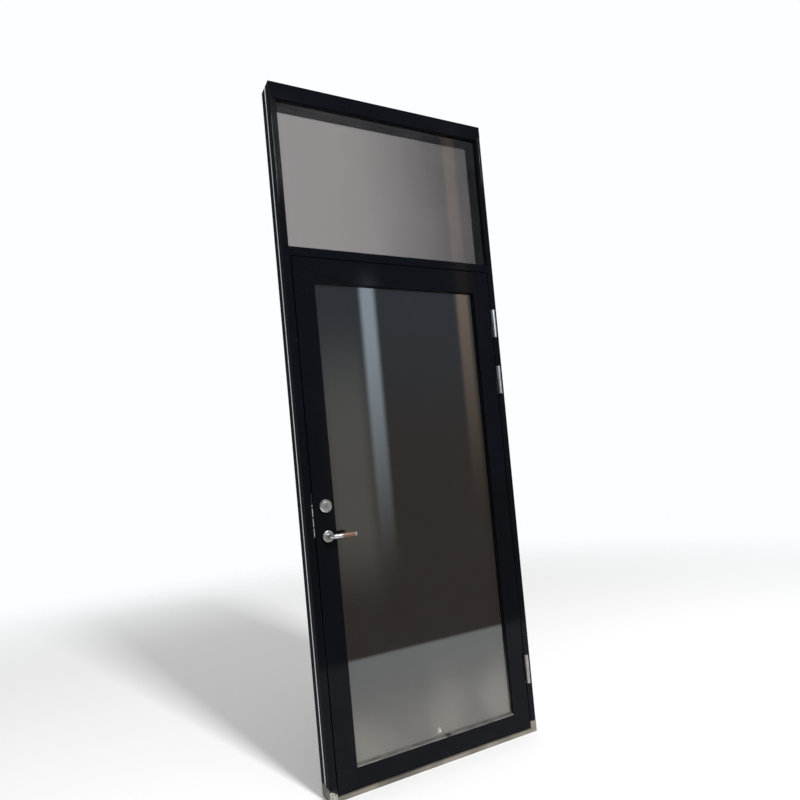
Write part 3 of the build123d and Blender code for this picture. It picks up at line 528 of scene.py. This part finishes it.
# Floor: pale, mostly behind the door, with its edges fading into the backdrop
FLOOR_REACH = 12.0
FLOOR_FADE = (2.2, 6.5)
FLOOR_FRONT = (-1.36, -1.46)
floor_mesh = bpy.data.meshes.new("floor")
corners = [(x * FLOOR_REACH, y * FLOOR_REACH, 0.0) for x, y in ((-1, -1), (1, -1), (1, 1), (-1, 1))]
floor_mesh.from_pydata(corners, [], [(0, 1, 2, 3)])
floor = bpy.data.objects.new("floor", floor_mesh)
bpy.context.scene.collection.objects.link(floor)
floor_material, floor_tree = new_material("floor_pale")
floor_point = {0: object_point(floor_tree)}
from_middle = new_node(floor_tree, "ShaderNodeVectorMath", floor_point, operation="LENGTH")
far_share = ramp(floor_tree, from_middle.outputs["Value"], *FLOOR_FADE)
front_share = ramp(floor_tree, axis_value(floor_tree, "Y"), *FLOOR_FRONT)
fade_share = calc(floor_tree, "MAXIMUM", far_share, front_share)
pale = new_node(floor_tree, "ShaderNodeBsdfDiffuse", {"Color": (*FLOOR_PALE, 1.0)})
open_air = new_node(floor_tree, "ShaderNodeBsdfTransparent")
shaders = {0: fade_share, 1: pale.outputs[0], 2: open_air.outputs[0]}
faded = new_node(floor_tree, "ShaderNodeMixShader", shaders)
new_node(floor_tree, "ShaderNodeOutputMaterial", {"Surface": faded.outputs[0]})
floor_mesh.materials.append(floor_material)

# Backdrop: white behind the door, and a dim studio in front and at the left, cooler higher up
BACKDROP_WHITE = (0.98, 0.99, 1.0)
STUDIO_WARM = (0.250, 0.197, 0.160)
STUDIO_COOL = (0.235, 0.27, 0.315)
STUDIO_FRONT = Vector((0.48, -0.87, 0.10)).normalized()
STUDIO_LEFT = Vector((-0.99, -0.14, 0.0)).normalized()
STUDIO_UP = Vector((0.0, 0.0, 1.0))
DIM_FRONT = (0.10, 0.42)
DIM_LEFT = (0.0, 0.16)
COOL_RISE = (-0.05, 0.30)
VIEW_LEVEL = 1.0
FILL_LEVEL = 0.58
world = bpy.data.worlds.new("studio")
world.use_nodes = True
bpy.context.scene.world = world
sky = world.node_tree
sky.nodes.clear()
direction = new_node(sky, "ShaderNodeTexCoord").outputs["Generated"]


def towards(side):
    """Gives how far the view direction points to one side, from -1 to 1."""
    inputs = {0: direction, 1: side}
    return new_node(sky, "ShaderNodeVectorMath", inputs, operation="DOT_PRODUCT").outputs["Value"]


dim = ramp(sky, towards(STUDIO_FRONT), *DIM_FRONT)
dim = calc(sky, "MAXIMUM", dim, ramp(sky, towards(STUDIO_LEFT), *DIM_LEFT))
cool = ramp(sky, towards(STUDIO_UP), *COOL_RISE)
colour = blend(sky, dim, BACKDROP_WHITE, blend(sky, cool, STUDIO_WARM, STUDIO_COOL))
rays = new_node(sky, "ShaderNodeLightPath").outputs
seen = calc(sky, "MAXIMUM", rays["Is Camera Ray"], rays["Is Glossy Ray"])
seen = calc(sky, "MAXIMUM", seen, rays["Is Transmission Ray"])
view = new_node(sky, "ShaderNodeBackground", {"Color": colour, "Strength": VIEW_LEVEL})
fill = new_node(sky, "ShaderNodeBackground", {"Color": (*WHITE, 1.0), "Strength": FILL_LEVEL})
both = new_node(sky, "ShaderNodeMixShader", {0: seen, 1: fill.outputs[0], 2: view.outputs[0]})
new_node(sky, "ShaderNodeOutputWorld", {"Surface": both.outputs[0]})

# Lamps: a key box high in front, and two dim strip boxes and a panel upright in front at the right
KEY_PLACE = (1.0, -6.9, 6.0)
KEY_AIM = (0.0, 0.0, 1.1)
KEY_SIZE = (1.0, 1.0)
KEY_POWER = 780.0
BOX_ROW_Y = -2.41
GLASS_Y = -0.03
BOX_MIDDLE = 0.5
BOX_SIDES = (0.18, 0.5)
COOL_LIGHT = (0.76, 0.89, 1.0)
WARM_LIGHT = (1.0, 0.72, 0.48)
PANEL_LIGHT = (0.95, 1.0, 0.88)


def soft_box(name, place, aim, size, power, colour):
    """Adds a soft box that faces a point."""
    data = bpy.data.lights.new(name, "AREA")
    data.shape = "RECTANGLE"
    data.size, data.size_y = size
    data.energy = power
    data.color = colour
    box = bpy.data.objects.new(name, data)
    bpy.context.scene.collection.objects.link(box)
    box.location = place
    box.rotation_euler = (Vector(aim) - Vector(place)).to_track_quat("-Z", "Y").to_euler()
    return box


def strip_box(name, x, aim_x, z, size, power, colour, fade):
    """Adds an upright box with soft sides and ends, which glass reflects but doesn't show behind it."""
    box = soft_box(name, (x, BOX_ROW_Y, z), (aim_x, GLASS_Y, z), size, power, colour)
    box.visible_transmission = False
    box.data.use_nodes = True
    tree = box.data.node_tree
    tree.nodes.clear()
    across = new_node(tree, "ShaderNodeNewGeometry").outputs["Parametric"]
    across = new_node(tree, "ShaderNodeSeparateXYZ", {0: across}).outputs
    off_middle = calc(tree, "ABSOLUTE", calc(tree, "SUBTRACT", across["X"], BOX_MIDDLE))
    sides = ramp(tree, off_middle, *BOX_SIDES, 1.0, 0.0)
    level = calc(tree, "MULTIPLY", sides, ramp(tree, across["Y"], 0.0, fade[0]))
    level = calc(tree, "MULTIPLY", level, ramp(tree, across["Y"], fade[1], 1.0, 1.0, 0.0))
    glow = new_node(tree, "ShaderNodeEmission", {"Strength": level})
    new_node(tree, "ShaderNodeOutputLight", {"Surface": glow.outputs[0]})


soft_box("key", KEY_PLACE, KEY_AIM, KEY_SIZE, KEY_POWER, WHITE)
strip_box(
    "strip_cool", x=1.02, aim_x=-0.13, z=1.45, size=(0.17, 2.7),
    power=3.8, colour=COOL_LIGHT, fade=(0.9, 0.93),
)
strip_box(
    "strip_warm", x=1.95, aim_x=0.29, z=2.35, size=(0.15, 3.7),
    power=2.4, colour=WARM_LIGHT, fade=(0.8, 0.9),
)
strip_box(
    "panel_left", x=0.74, aim_x=-0.26, z=1.25, size=(0.52, 2.5),
    power=1.9, colour=PANEL_LIGHT, fade=(0.3, 0.6),
)

# Camera object
camera_data = bpy.data.cameras.new("camera")
camera_data.sensor_width = CAMERA_SENSOR
camera_data.lens = CAMERA_LENS
camera_data.shift_y = CAMERA_SHIFT
camera = bpy.data.objects.new("camera", camera_data)
bpy.context.scene.collection.objects.link(camera)
right, up = Vector(CAMERA_RIGHT), Vector(CAMERA_UP)
turn = [right, up, right.cross(up)]
camera.matrix_world = Matrix.Translation(CAMERA_PLACE) @ Matrix(turn).transposed().to_4x4()
bpy.context.scene.camera = camera
bpy.context.scene.view_settings.view_transform = "Standard"
